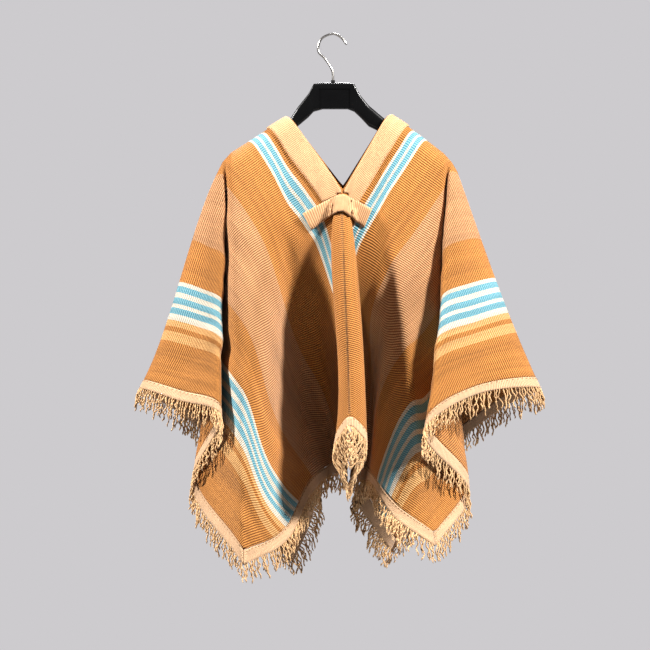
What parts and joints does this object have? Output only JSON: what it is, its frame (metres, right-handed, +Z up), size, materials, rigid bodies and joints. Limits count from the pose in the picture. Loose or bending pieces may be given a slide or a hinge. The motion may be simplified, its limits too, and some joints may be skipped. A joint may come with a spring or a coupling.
{
  "type": "poncho on a coat hanger",
  "caption": "Striped, hand-woven wool poncho of two joined panels with a bound V neck and a fringed edge, hanging in folds on a moulded coat hanger with a wire hook",
  "frame": {"origin": "the underside of the hook's crown, where it rests on the rail", "axes": "X runs across the poncho, to the right in the front view; Y points from the front to the back; Z is up"},
  "size_m": [0.7127, 0.3027, 0.9641],
  "materials": {
    "striped_cloth": "woven wool",
    "tan_binding": "ribbed wool",
    "tan_edging": "twisted wool",
    "black_plastic": "gloss",
    "steel_wire": "brushed",
    "black_nut": "satin"
  },
  "bodies": {
    "root": {"panel_left": "striped_cloth", "panel_right": "striped_cloth", "neck_binding_left": "tan_binding", "neck_binding_right": "tan_binding", "neck_tab": "tan_binding", "fringe_front_left": "tan_edging", "fringe_front_right": "tan_edging", "fringe_side_left": "tan_edging", "fringe_side_right": "tan_edging", "fringe_back_left": "tan_edging", "fringe_back_right": "tan_edging", "hanger_body": "black_plastic", "hanger_hook": "steel_wire", "hook_nut": "black_nut"}
  },
  "joints": []
}
